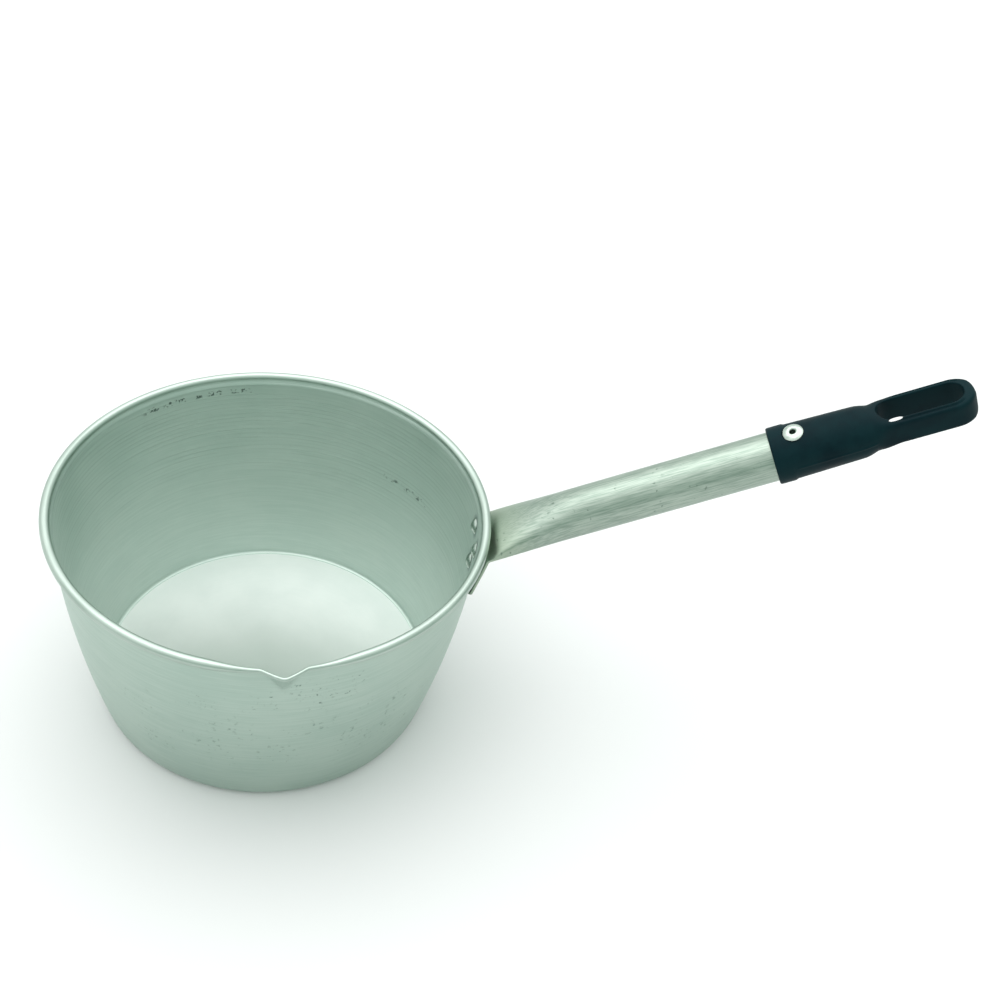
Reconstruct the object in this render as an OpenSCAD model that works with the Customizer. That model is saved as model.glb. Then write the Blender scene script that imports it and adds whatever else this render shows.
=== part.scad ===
// Spouted melting pot: a spun aluminium pan with a rolled rim, a pressed pouring spout,
// a riveted tubular handle and a moulded hanging grip held by one blind rivet.
// The origin is the centre of the underside of the base. The handle points along +X.

/* [Pot] */
// Outside diameter over the rolled rim
rim_d = 200; // [192:1:208]
// Height from the bench to the top of the rolled rim
pot_h = 109.5; // [104:0.5:116]
// Thickness of the spun wall
wall_t = 1.4; // [1.2:0.1:1.8]
// Thickness of the base
base_t = 2; // [1.6:0.1:3]
// Diameter of the rolled rim bead
bead_d = 4.4; // [4:0.1:5]
// How far the rim's edge stands out past the wall below it
rim_overhang = 4; // [3.6:0.1:4.4]
// How far the wall leans outward at the neck, in degrees from upright
neck_lean = 2.9; // [2:0.1:5]
// How far the wall leans outward at the foot, in degrees from upright
foot_lean = 14.2; // [11:0.1:17]
// Outside radius of the corner between base and wall
corner_r = 5.5; // [4:0.1:9]
// Inside radius of the corner between base and wall
fillet_r = 2; // [1.5:0.1:4]

/* [Spout] */
// Direction of the spout around the pot, with the handle at 0 degrees
spout_az = -81; // [-100:0.1:-70]
// How far the spout's lip stands out past the round rim
spout_out = 4.6; // [3:0.1:8]
// Half of the spout's width at the rim, in degrees around the pot
spout_half = 5.3; // [4:0.1:8]
// Depth of the pressed groove below the rim
spout_depth = 17; // [10:0.5:20]
// How much the bead is pressed flat at the spout, as a share of its size
spout_flat = 0.56; // [0:0.01:0.6]

/* [Handle] */
// Outside diameter of the handle tube
tube_d = 22.2; // [20:0.1:25]
// Thickness of the tube's wall
tube_t = 1.2; // [1:0.1:1.6]
// Upward tilt of the handle, in degrees from level
tilt = 27.8; // [22:0.1:32]
// Height at which the handle's axis meets the rim's radius
axis_z = 98.4; // [97:0.1:99]
// Length of the handle tube along its axis
tube_len = 172; // [166:1:174]
// Distance along the axis at which the flattened end has become round
round_at = 56; // [48:1:62]
// Height of the flattened end's lower edge
strip_z = 75.8; // [75:0.1:79]
// Diameter of the handle rivets' shanks
rivet_d = 4.2; // [3:0.1:5]
// Diameter of the rivet heads inside the pot
rivet_head_d = 8; // [6:0.1:9]
// Height of the rivet heads inside the pot
rivet_head_h = 2; // [1.2:0.1:2.5]
// Height of the two upper handle rivets
rivet_upper_z = 98; // [97:0.1:98.6]
// Height of the lower handle rivet
rivet_lower_z = 83.4; // [82:0.1:86]
// Angle from the handle's centre line to each upper rivet
rivet_spread = 5; // [4:0.1:5.4]

/* [Grip] */
// Distance along the handle's axis at which the grip starts
grip_from = 136.5; // [132:0.5:140]
// Distance along the handle's axis of the grip's tip
grip_to = 225.5; // [222:0.5:232]
// Diameter of the collar at the grip's mouth
collar_d = 25.8; // [25:0.1:28]
// Length of the collar
collar_len = 7.5; // [5:0.5:10]
// Diameter of the sleeve behind the collar
sleeve_d = 24.9; // [24.2:0.1:25]
// Diameter of the sleeve where the waist starts
waist_d = 23.4; // [23.2:0.1:24]
// Width of the hanging loop
loop_w = 20; // [19:0.1:23]
// Thickness of the hanging loop
loop_t = 12.4; // [9:0.1:13]
// How far the loop's middle lies above the handle's axis
loop_lift = 1.5; // [0:0.1:2]
// Width of the slot through the hanging loop
slot_w = 13.3; // [10:0.1:14]
// Length of the slot through the hanging loop
slot_len = 37.4; // [30:0.1:39]
// Thickness of the loop beyond the slot's end
tip_wall = 4.6; // [3:0.1:6]
// Distance along the axis of the blind rivet
pin_at = 147.5; // [146:0.5:152]
// How far the blind rivet is turned from the top toward the spout's side, in degrees
pin_turn = 10; // [0:1:30]

/* [Hidden] */
$fn = 96;

aluminium = "#c4cec7";
rivet_metal = "#dde3de";
steel = "#5a5f60";
black_plastic = "#1b2f35";

// Cutting shapes run past the surfaces that they cut by this much.
past = 1;
// Clearance on the diameter of a rivet's hole and of the grip's socket
hole_play = 0.2;

function polar(centre, r, a) = [centre[0] + r * cos(a), centre[1] + r * sin(a)];
function mix(a, b, k) = a + (b - a) * k;
function clamp01(x) = min(1, max(0, x));
function smooth(x) = let(c = clamp01(x)) c * c * (3 - 2 * c);
function arc(centre, r, a0, a1, n) = [for (i = [0:n]) polar(centre, r, mix(a0, a1, i / n))];
function flipped(list) = [for (i = [len(list) - 1:-1:0]) list[i]];

// A loft runs through rings of equal length. The second half of a ring faces its first half.
function quad(a, b, c, d) = [[a, c, b], [a, d, c]];
function skin(count, n) = [for (j = [0:count - 2], i = [0:n - 1])
    let(a = j * n + i, b = j * n + (i + 1) % n) each quad(a, b, b + n, a + n)];
function lid(first, n) = [for (i = [0:n / 2 - 2])
    each quad(first + i, first + i + 1, first + n - 2 - i, first + n - 1 - i)];
module loft(rings) {
    n = len(rings[0]);
    first_lid = [for (f = lid(0, n)) flipped(f)];
    last_lid = lid((len(rings) - 1) * n, n);
    polyhedron(
        points = [for (ring = rings, p = ring) p],
        faces = concat(skin(len(rings), n), first_lid, last_lid),
        convexity = 6
    );
}

// The wall is one long arc, seen from the side, between the neck and the corner at the foot.
bead_r = bead_d / 2;
bead_c = [rim_d / 2 - bead_r, pot_h - bead_r];
neck = [rim_d / 2 - rim_overhang, bead_c[1] - 1.5 * bead_r];
foot_z = corner_r * (1 - sin(foot_lean));
wall_r = (neck[1] - foot_z) / (sin(foot_lean) - sin(neck_lean));
wall_c = [neck[0] - wall_r * cos(neck_lean), neck[1] + wall_r * sin(neck_lean)];
corner_c = polar(wall_c, wall_r - corner_r, -foot_lean);
function wall_angle(z) = asin((z - wall_c[1]) / wall_r);
function wall_outer_r(z) = polar(wall_c, wall_r, wall_angle(z))[0];

// The inner corner is a fillet between the floor and the inside of the wall.
fillet_reach = wall_r - wall_t - fillet_r;
fillet_a = asin((base_t + fillet_r - wall_c[1]) / fillet_reach);
fillet_c = polar(wall_c, fillet_reach, fillet_a);

// The sheet rolls outward over the rim and stops just short of the wall's outside.
curl_from = 180;
curl_to = -100;
curl_steps = 10;
wall_steps = 14;
function curl(r) = arc(bead_c, r, curl_from, curl_to, curl_steps);

outside_outline = concat(
    [[0, 0]],
    arc(corner_c, corner_r, -90, -foot_lean, 6),
    arc(wall_c, wall_r, -foot_lean, -neck_lean, wall_steps),
    curl(bead_r - wall_t)
);
inside_outline = concat(
    [[0, base_t]],
    arc(fillet_c, fillet_r, -90, fillet_a, 5),
    arc(wall_c, wall_r - wall_t, fillet_a, -neck_lean, wall_steps),
    curl(bead_r)
);

// The spout's sector of wall and rim is lofted, and its margins are tucked into the turned body.
sector_half = 22;
sector_drop = 27;
sector_z = pot_h - sector_drop;
sector_from_r = rim_d / 2 - 20;
sector_size = [30, 40];
sector_steps = 32;
sector_wall_steps = 6;
tuck_angle = 0.6;
tuck_depth = 2;
tuck_inset = 0.3;

// The sheet's outside or inside, seen from the side, with its lowest point tucked in.
function wall_row(tucked_r, r) = concat(
    [polar(wall_c, tucked_r, wall_angle(sector_z - tuck_depth))],
    [for (i = [0:sector_wall_steps])
        polar(wall_c, r, wall_angle(mix(sector_z + past, neck[1], i / sector_wall_steps)))]
);
function sector_outline(inset) = concat(
    wall_row(wall_r - tuck_inset, wall_r - inset),
    curl(bead_r - wall_t + inset),
    flipped(curl(bead_r - inset)),
    flipped(wall_row(wall_r - wall_t + tuck_inset, wall_r - wall_t + inset))
);

// The groove is a V that starts below the rim and widens upward to the lip.
crease_round = 0.6;
shoulder_round = 0.1;
lip_drop = 0.18;
function on_curl(p) = p[1] > neck[1] + 0.01;
function groove_share(p) = on_curl(p) ? 1 : (p[1] - bead_c[1] + spout_depth) / spout_depth;
function ramp(x, r) = x < -r ? 0 : x > r ? x : pow(x + r, 2) / (4 * r);
function groove(p, a) =
    let(off_centre = sqrt(a * a + crease_round) - crease_round / 2)
    spout_out * ramp(groove_share(p) - off_centre / spout_half, shoulder_round);

// Beside the groove the bead is pressed flat, and the top of the wall follows it outward.
flat_edge = sector_half - 2;
flat_centre = bead_c[0] + 0.8;
lip_reach = flat_centre - bead_c[0] + bead_r;
function flattening(a) = spout_flat * smooth((flat_edge - abs(a)) / (flat_edge - spout_half));
function spread(p, k) = on_curl(p)
    ? [mix(p[0], flat_centre, k), mix(p[1], bead_c[1], k)]
    : [p[0] + k * lip_reach * pow(max(0, groove_share(p)), 2), p[1]];
function pressed(p, a) =
    let(q = spread(p, flattening(a)), g = groove(p, a))
    [(q[0] + g) * cos(a), (q[0] + g) * sin(a), q[1] - lip_drop * g];
function sector_ring(a, inset) = [for (p = sector_outline(inset)) pressed(p, a)];
sector_edge = sector_half - tuck_angle;
spout_rings = concat(
    [sector_ring(sector_half + tuck_angle, tuck_inset)],
    [for (i = [0:sector_steps]) sector_ring(mix(sector_edge, -sector_edge, i / sector_steps), 0)],
    [sector_ring(-sector_half - tuck_angle, tuck_inset)]
);

// A point at a distance along the handle's axis and at a height above it, in the XZ plane
axis_origin = [rim_d / 2 - bead_r, axis_z];
function on_axis(l, lift) = axis_origin
    + l * [cos(tilt), sin(tilt)] + lift * [-sin(tilt), cos(tilt)];

// The tube's end is pressed flat, keeps its girth, and is bent down against the wall.
strip_t = 2 * tube_t;
strip_gap = 0.1;
strip_corner_r = 2.5;
flat_until = 4.5;
rounding_power = 0.8;
bend_r = 4.5;
bow_top = 2.2;
bow_foot = -1.5;
bow_until = 40;
strip_dir = 90 + wall_angle(rivet_upper_z);
strip_point = [wall_outer_r(rivet_upper_z) + strip_gap + strip_t / 2, rivet_upper_z];
strip_up = [cos(strip_dir), sin(strip_dir)];
corner_at = cross(strip_point - on_axis(0, bow_top), strip_up)
    / cross([cos(tilt), sin(tilt)], strip_up);
bend_tangent = bend_r * tan((strip_dir - tilt) / 2);
bend_c = on_axis(corner_at + bend_tangent, bow_top - bend_r);
strip_top_z = on_axis(corner_at, bow_top)[1] - bend_tangent * strip_up[1];

// A station is [place in XZ, direction of the run, roundness, bow of the middle, width lost].
function roundness(l) = pow(
    sin(90 * clamp01((l - flat_until) / (round_at - flat_until))), rounding_power
);
function bow(l) = bow_top * pow(1 - clamp01((l - flat_until) / (bow_until - flat_until)), 2);
function axis_station(l) = [on_axis(l, bow(l)), tilt, roundness(l), bow(l), 0];
function bend_station(a) = [polar(bend_c, bend_r, 90 + a), a, 0, bow_top, 0];
function rounded_off(u) = u < strip_corner_r
    ? 2 * (strip_corner_r - sqrt(pow(strip_corner_r, 2) - pow(strip_corner_r - u, 2)))
    : 0;
function strip_station(u) = let(z = strip_z + u) [
    [wall_outer_r(z) + strip_gap + strip_t / 2, z],
    90 + wall_angle(z),
    0,
    mix(bow_foot, bow_top, u / (strip_top_z - strip_z)),
    rounded_off(u)
];

// One row of a section, above (1) or below (-1) its middle line, from the near to the far edge
section_steps = 13;
flat_power = 0.35;
function section_row(s, side, inset) =
    let(
        t = mix(strip_t, tube_d, s[2]),
        w = t + PI * (tube_d - t) / 2 - s[4] - 2 * inset,
        power = mix(flat_power, 1, pow(s[2], 2))
    )
    [for (i = [0:section_steps - 1])
        let(
            a = 180 * (i + 0.5) / section_steps,
            n = side * (t / 2 - inset) * pow(sin(a), power) - s[3] * pow(cos(a), 2)
        )
        [s[0][0] - n * sin(s[1]), -cos(a) * w / 2, s[0][1] + n * cos(s[1])]];
function section_ring(s, inset) =
    concat(section_row(s, 1, inset), flipped(section_row(s, -1, inset)));

tube_tuck = 1.5;
tube_inset = 0.15;
axis_steps = 9;
bend_steps = 4;
strip_stops = [0.8, 0.6, 0.4, 0.25];
corner_stops = [1, 0.5, 0.2, 0];
cavity_from = 9;
function run_rings(from, to, inset) = concat(
    [section_ring(axis_station(from + tube_tuck), inset + tube_inset)],
    [for (i = [1:axis_steps]) section_ring(axis_station(mix(from, to, i / axis_steps)), inset)]
);
end_rings = concat(
    run_rings(round_at, corner_at + bend_tangent, 0),
    [for (i = [1:bend_steps]) section_ring(bend_station(mix(tilt, strip_dir, i / bend_steps)), 0)],
    [for (k = strip_stops) section_ring(strip_station(k * (strip_top_z - strip_z)), 0)],
    [for (k = corner_stops) section_ring(strip_station(k * strip_corner_r), 0)]
);
cavity_rings = run_rings(round_at, cavity_from, tube_t);

// The rivets' seats are flats pressed into the strip's outer face.
rivet_tail_d = 6.4;
rivet_tail_h = 1.2;
rivet_tail_edge = 0.4;
seat_room = 3;
rivet_stack = wall_t + strip_gap + strip_t;
bend_seat_rise = 0.7;
flat_seat_depth = 0.1;
upper_seat = rivet_stack + bend_seat_rise;
lower_seat = rivet_stack - flat_seat_depth;
head_gap = 0.1;

// Sizes of the blind rivet that holds the grip
pin_head_d = 9.2;
pin_head_h = 1.4;
pin_head_edge = 0.45;
pin_head_bevel = 1.2;
pin_head_gap = 0.05;
pin_head_room = 5;
pin_shank_d = 4.8;
pin_bore_d = 2.7;
pin_tail_d = 6.6;
pin_tail_bevel = 1;
pin_tail_h = 3.3;
mandrel_d = 2.5;
mandrel_head_d = 4.2;
mandrel_head_h = 1.6;
mandrel_head_taper = 1;
mandrel_break = 1.4;
pin_seat = sleeve_d / 2 - 0.5;
pin_tail_from = tube_d / 2 - tube_t - 0.1;
pin_tail_to = pin_tail_from - pin_tail_h;

// Local Z runs out along the handle's axis and local -X points up.
module along_handle() {
    translate([axis_origin[0], 0, axis_origin[1]]) rotate([0, 90 - tilt, 0]) children();
}

// Local Z runs outward through the wall from its inner face.
module through_wall(az, z) {
    face = polar(wall_c, wall_r - wall_t, wall_angle(z));
    rotate([0, 0, az])
        translate([face[0], 0, face[1]])
            rotate([0, 90 - wall_angle(z), 0])
                children();
}

// Local Z runs outward from the handle's axis along the blind rivet.
module at_pin() {
    along_handle() translate([0, 0, pin_at]) rotate([0, 0, pin_turn]) rotate([0, -90, 0]) children();
}

module rivet_places() {
    through_wall(-rivet_spread, rivet_upper_z) children();
    through_wall(rivet_spread, rivet_upper_z) children();
    through_wall(0, rivet_lower_z) children();
}

module rivet_hole() {
    translate([0, 0, -past]) cylinder(d = rivet_d + hole_play, h = upper_seat + 2 * past);
}

module rivet_seat(from) {
    translate([0, 0, from]) cylinder(d = rivet_tail_d + hole_play, h = seat_room);
}

module pot_body() {
    color(aluminium)
        difference() {
            union() {
                difference() {
                    rotate_extrude() polygon(concat(outside_outline, flipped(inside_outline)));
                    rotate([0, 0, spout_az - sector_half])
                        rotate_extrude(angle = 2 * sector_half)
                            translate([sector_from_r, sector_z]) square(sector_size);
                }
                rotate([0, 0, spout_az]) loft(spout_rings);
            }
            rivet_places() rivet_hole();
        }
}

module handle_tube() {
    color(aluminium)
        difference() {
            union() {
                loft(end_rings);
                along_handle() translate([0, 0, round_at]) cylinder(d = tube_d, h = tube_len - round_at);
            }
            loft(cavity_rings);
            along_handle()
                translate([0, 0, round_at])
                    cylinder(d = tube_d - 2 * tube_t, h = tube_len - round_at + past);
            rivet_places() rivet_hole();
            through_wall(-rivet_spread, rivet_upper_z) rivet_seat(upper_seat);
            through_wall(rivet_spread, rivet_upper_z) rivet_seat(upper_seat);
            through_wall(0, rivet_lower_z) rivet_seat(lower_seat);
            at_pin() cylinder(d = pin_shank_d + hole_play, h = tube_d);
        }
}

// A domed head inside the pot, a shank through the wall and strip, and a flat tail outside
module handle_rivet(seat) {
    head_base_r = rivet_head_d / 2;
    dome_r = (head_base_r * head_base_r + rivet_head_h * rivet_head_h) / (2 * rivet_head_h);
    color(rivet_metal) {
        translate([0, 0, -head_gap])
            intersection() {
                translate([0, 0, dome_r - rivet_head_h]) sphere(r = dome_r);
                translate([0, 0, -rivet_head_h]) cylinder(r = head_base_r, h = rivet_head_h);
            }
        translate([0, 0, -head_gap]) cylinder(d = rivet_d, h = head_gap + seat);
        translate([0, 0, seat])
            cylinder(d1 = rivet_tail_d, d2 = rivet_tail_d - 2 * rivet_tail_edge, h = rivet_tail_h);
    }
}

module handle_rivet_near() {
    through_wall(-rivet_spread, rivet_upper_z) handle_rivet(upper_seat);
}

module handle_rivet_far() {
    through_wall(rivet_spread, rivet_upper_z) handle_rivet(upper_seat);
}

module handle_rivet_lower() {
    through_wall(0, rivet_lower_z) handle_rivet(lower_seat);
}

// The grip's turned form: collar, sleeve, and a nose that runs out into the flat loop
socket_d = tube_d + hole_play;
socket_to = tube_len + past;
socket_end_wall = 2;
waist_len = 3;
waist_depth = 1;
nose_past = 8;
collar_edge = 0.8;
collar_step = 0.4;
loop_from = socket_to - 6;
slot_to = grip_to - tip_wall;
slot_from = slot_to - slot_len;
grip_outline = [
    [0, grip_from],
    [collar_d / 2 - collar_edge, grip_from],
    [collar_d / 2, grip_from + collar_edge],
    [collar_d / 2, grip_from + collar_len],
    [sleeve_d / 2, grip_from + collar_len + collar_step],
    [waist_d / 2, socket_to + socket_end_wall],
    [waist_d / 2 - waist_depth, socket_to + socket_end_wall + waist_len],
    [loop_t / 2, slot_from + nose_past],
    [0, slot_from + nose_past]
];

module stadium(from, to, w) {
    translate([from + w / 2, -w / 2]) square([to - from - w, w]);
    translate([from + w / 2, 0]) circle(d = w);
    translate([to - w / 2, 0]) circle(d = w);
}

module grip() {
    color(black_plastic)
        difference() {
            along_handle()
                union() {
                    rotate_extrude() polygon(grip_outline);
                    rotate([0, -90, 0])
                        translate([0, 0, loop_lift - loop_t / 2])
                            linear_extrude(loop_t) stadium(loop_from, grip_to, loop_w);
                }
            along_handle()
                translate([0, 0, grip_from - past])
                    cylinder(d = socket_d, h = socket_to - grip_from + past);
            along_handle()
                rotate([0, -90, 0])
                    translate([0, 0, -collar_d / 2])
                        linear_extrude(collar_d) stadium(slot_from, slot_to, slot_w);
            at_pin() cylinder(d = pin_shank_d + hole_play, h = collar_d);
            at_pin()
                translate([0, 0, pin_seat])
                    cylinder(d = pin_head_d + 2 * hole_play, h = pin_head_room);
        }
}

// The blind rivet's body: a domed flange with a centre hole, a shank, and a bulged tail
module grip_rivet_sleeve() {
    color(rivet_metal)
        at_pin()
            rotate_extrude()
                polygon([
                    [pin_bore_d / 2, pin_tail_to],
                    [pin_tail_d / 2 - pin_tail_bevel, pin_tail_to],
                    [pin_tail_d / 2, pin_tail_to + pin_tail_bevel],
                    [pin_tail_d / 2, pin_tail_from - pin_tail_bevel],
                    [pin_shank_d / 2, pin_tail_from],
                    [pin_shank_d / 2, pin_seat + pin_head_gap],
                    [pin_head_d / 2, pin_seat + pin_head_gap],
                    [pin_head_d / 2, pin_seat + pin_head_edge],
                    [pin_head_d / 2 - pin_head_bevel, pin_seat + pin_head_h],
                    [pin_bore_d / 2 + pin_head_edge, pin_seat + pin_head_h],
                    [pin_bore_d / 2, pin_seat + pin_head_h - pin_head_edge]
                ]);
}

// The broken stem and head of the mandrel that stay inside the blind rivet
module grip_rivet_mandrel() {
    color(steel)
        at_pin() {
            translate([0, 0, pin_tail_to - mandrel_head_h])
                cylinder(d1 = mandrel_head_d - mandrel_head_taper, d2 = mandrel_head_d, h = mandrel_head_h);
            translate([0, 0, pin_tail_to - past])
                cylinder(d = mandrel_d, h = pin_seat - mandrel_break - pin_tail_to + past);
        }
}

pot_body();
handle_tube();
handle_rivet_near();
handle_rivet_far();
handle_rivet_lower();
grip();
grip_rivet_sleeve();
grip_rivet_mandrel();
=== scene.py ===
import math

import bmesh
import bpy
import numpy as np
from mathutils import Matrix, Quaternion, Vector


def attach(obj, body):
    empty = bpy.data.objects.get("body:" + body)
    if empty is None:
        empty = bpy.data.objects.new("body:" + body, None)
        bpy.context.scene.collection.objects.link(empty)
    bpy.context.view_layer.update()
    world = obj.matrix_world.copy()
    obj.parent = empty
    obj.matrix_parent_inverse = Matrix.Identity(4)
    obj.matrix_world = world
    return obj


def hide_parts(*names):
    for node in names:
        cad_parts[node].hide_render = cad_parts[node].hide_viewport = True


# Sizes are in millimetres and degrees until a mesh is made. MM turns them into metres.
MM = 0.001
BODY = "pot"

# ---------------------------------------------------------------- sizes of the pot
RIM_R = 100.0
POT_H = 109.5
WALL_T = 1.4
BASE_T = 2.0
BEAD_R = 2.2
RIM_OVERHANG = 4.0
NECK_DROP = 1.5 * BEAD_R
# The wall's lean from upright, under the rim and at the foot.
NECK_LEAN = 2.9
FOOT_LEAN = 14.2
CORNER_R = 5.5
FILLET_R = 2.0
# The rolled rim's curl starts at its inner side and goes over the top.
CURL_FROM = 180.0
CURL_TO = -100.0

# The spout is a groove pressed SPOUT_OUT outward, SPOUT_HALF degrees to each side, in a flattened rim.
SPOUT_AZ = -81.0
SPOUT_OUT = 4.6
SPOUT_HALF = 5.3
SPOUT_DEPTH = 17.0
SPOUT_FLAT = 0.56
SPOUT_FLAT_OUT = 0.8
SPOUT_CREASE = 0.6
SPOUT_SHOULDER = 0.1
SPOUT_DROP = 0.18
SPOUT_FADE = 20.0

# ---------------------------------------------------------------- sizes of the handle
TUBE_R = 11.1
TUBE_T = 1.2
TILT = 27.8
AXIS_Z = 98.4
TUBE_LEN = 172.0
ROUND_AT = 56.0
STRIP_Z = 75.8
STRIP_GAP = 0.1
STRIP_CORNER_R = 2.5
# The tube is pressed flat until FLAT_UNTIL along its axis and is round from ROUND_AT.
FLAT_UNTIL = 4.5
ROUNDING_POWER = 0.8
FLAT_POWER = 0.35
BEND_R = 4.5
# How far the flat section's middle bows out of its plane.
BOW_TOP = 2.2
BOW_FOOT = -1.5
BOW_UNTIL = 40.0
CAVITY_FROM = 9.0

RIVET_R = 2.1
RIVET_HEAD_R = 4.0
RIVET_HEAD_H = 2.0
RIVET_TAIL_R = 3.2
RIVET_TAIL_H = 1.2
RIVET_UPPER_Z = 98.0
RIVET_LOWER_Z = 83.4
RIVET_SPREAD = 5.0
RIVET_HEAD_GAP = 0.1
RIVET_HEAD_EDGE = 0.25
# The upper tails bear on the bend, above the strip's face. The lower one bears just below that face.
BEND_SEAT_RISE = 0.7
FLAT_SEAT_DEPTH = 0.1
SEAT_CUT_H = 3.0
# The tail's edge, as (inward from its radius, below its top), and its dish, as (radius, below its top).
RIVET_TAIL_EDGE = ((0.4, 0.1), (0.8, 0.0))
RIVET_TAIL_DISH = ((1.1, 0.0), (0.7, 0.2), (0.0, 0.25))
HOLE_PLAY = 0.1
# How far a cutter reaches past what it cuts.
CUT_PAST = 1.0

# ---------------------------------------------------------------- sizes of the grip
GRIP_FROM = 136.5
GRIP_TO = 225.5
COLLAR_R = 12.9
COLLAR_LEN = 7.5
COLLAR_FADE = 0.9
COLLAR_FADE_AHEAD = 0.3
SLEEVE_R = 12.45
SLEEVE_TAPER_LEN = 31.0
WAIST_R = 11.7
MOUTH_ROUND = 0.8
# The round sleeve turns into the flatter loop from LOOP_FROM, over three lengths.
LOOP_FROM = 174.0
LOOP_TOP_BLEND = 16.0
LOOP_LOW_BLEND = 18.0
LOOP_SIDE_BLEND = 12.0
LOOP_HALF_W = 10.0
LOOP_HALF_T = 6.2
LOOP_LIFT = 1.5
# A section's power is 2 for an ellipse and higher for a squarer shape.
SQUARE_FROM = 180.0
SQUARE_BLEND = 14.0
ROUND_POWER = 2.0
LOOP_POWER = 9.0
TIP_ROUND = 3.0
TIP_THINNEST = 0.45
SLOT_HALF_W = 6.65
SLOT_LEN = 37.4
TIP_WALL = 4.6
LIP_W = 1.0
LIP_FROM = 2.0
LIP_H = 0.1
PARTING_HALF_W = 0.45
PARTING_H = 0.3
PARTING_BEYOND = 10.2
PARTING_TO = 184.0
GROOVE_AT = 1.6
GROOVE_HALF_W = 0.55
GROOVE_DEPTH = 0.7
GROOVE_ABOVE = 5.0
GROOVE_FROM = 190.0
# The relief leans RELIEF_LEAN across and RELIEF_DRIFT along for each millimetre that it goes up.
RELIEF_AT = 191.0
RELIEF_HALF_LEN = 3.2
RELIEF_HALF_W = 1.05
RELIEF_REACH = 8.5
RELIEF_LEAN = 1.144
RELIEF_DRIFT = 0.14
SOCKET_R = 11.2
SOCKET_TO = 173.0

PIN_AT = 147.5
PIN_TURN = 10.0
PIN_SEAT = 11.95
PIN_HEAD_R = 4.6
PIN_HEAD_H = 1.4
PIN_SHANK_R = 2.4
PIN_BORE_R = 1.35
PIN_TAIL_R = 3.3
PIN_TAIL_H = 3.3
PIN_TAIL_GAP = 0.1
PIN_TAIL_ROUND = 1.0
PIN_SEAT_GAP = 0.05
PIN_SEAT_CUT_H = 5.0
# The flange, as (inward from its edge, above its seat), its crown, as (inward from its edge, below
# its top), and the lip of the bore, as (outward from the bore, below the top).
PIN_FLANGE = ((0.1, PIN_SEAT_GAP), (0.0, 0.2), (0.05, 0.45), (0.45, 0.75), (1.1, 1.08))
PIN_CROWN = ((1.9, 0.08),)
PIN_LIP = ((0.75, 0.0), (0.3, 0.1), (0.0, 0.45))
MANDREL_R = 1.25
MANDREL_DEPTH = 1.4
# The mandrel's bulb, as (radius, below the tail), and its broken end, as (radius, below its top).
MANDREL_BULB = ((0.0, 1.6), (1.4, 1.6), (1.6, 1.4), (2.1, 0.0))
MANDREL_BREAK = ((MANDREL_R, 0.3), (0.9, 0.05), (0.4, 0.15), (0.0, 0.0))


# ---------------------------------------------------------------- plane geometry
def mix(a, b, k):
    return a + (b - a) * k


def smooth(x):
    c = np.clip(x, 0.0, 1.0)
    return c * c * (3.0 - 2.0 * c)


def clamp(x):
    return min(1.0, max(0.0, x))


def quarter(x):
    """Falls from 1 to 0 along a quarter circle while x goes from 0 to 1."""
    return math.sqrt(max(0.0, 1 - x**2))


def polar(centre, r, degrees):
    a = np.radians(degrees)
    return np.array([centre[0] + r * np.cos(a), centre[1] + r * np.sin(a)])


def arc(centre, r, start, end, steps):
    return [polar(centre, r, a) for a in np.linspace(start, end, steps + 1)]


def line(a, b, steps):
    return [mix(np.array(a, float), np.array(b, float), k) for k in np.linspace(0, 1, steps + 1)]


# The wall is one long arc, seen from the side, between the neck and the corner at the foot.
BEAD_C = (RIM_R - BEAD_R, POT_H - BEAD_R)
NECK = (RIM_R - RIM_OVERHANG, BEAD_C[1] - NECK_DROP)
FOOT_Z = CORNER_R * (1.0 - math.sin(math.radians(FOOT_LEAN)))
LEAN_CHANGE = math.sin(math.radians(FOOT_LEAN)) - math.sin(math.radians(NECK_LEAN))
WALL_R = (NECK[1] - FOOT_Z) / LEAN_CHANGE
WALL_C = (
    NECK[0] - WALL_R * math.cos(math.radians(NECK_LEAN)),
    NECK[1] + WALL_R * math.sin(math.radians(NECK_LEAN)),
)
CORNER_C = polar(WALL_C, WALL_R - CORNER_R, -FOOT_LEAN)
FILLET_REACH = WALL_R - WALL_T - FILLET_R
FILLET_A = math.degrees(math.asin((BASE_T + FILLET_R - WALL_C[1]) / FILLET_REACH))
FILLET_C = polar(WALL_C, FILLET_REACH, FILLET_A)


def wall_angle(z):
    return math.degrees(math.asin((z - WALL_C[1]) / WALL_R))


def wall_outer_r(z):
    return polar(WALL_C, WALL_R, wall_angle(z))[0]


# ---------------------------------------------------------------- mesh making
def make_object(name, points_mm, faces, materials, face_materials=None):
    mesh = bpy.data.meshes.new(name)
    mesh.from_pydata((np.asarray(points_mm, float) * MM).tolist(), [], faces)
    mesh.validate()
    for material in materials:
        mesh.materials.append(material)
    if face_materials is not None:
        mesh.polygons.foreach_set("material_index", face_materials)
    piece = bpy.data.objects.new(name, mesh)
    bpy.context.scene.collection.objects.link(piece)
    tidy_normals(piece)
    return piece


def tidy_normals(piece, sharp_above=38.0):
    """Turns every face outward and shades smooth up to an angle."""
    work = bmesh.new()
    work.from_mesh(piece.data)
    bmesh.ops.recalc_face_normals(work, faces=work.faces)
    work.to_mesh(piece.data)
    work.free()
    piece.data.polygons.foreach_set("use_smooth", [True] * len(piece.data.polygons))
    piece.data.set_sharp_from_angle(angle=math.radians(sharp_above))
    piece.data.update()


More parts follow.
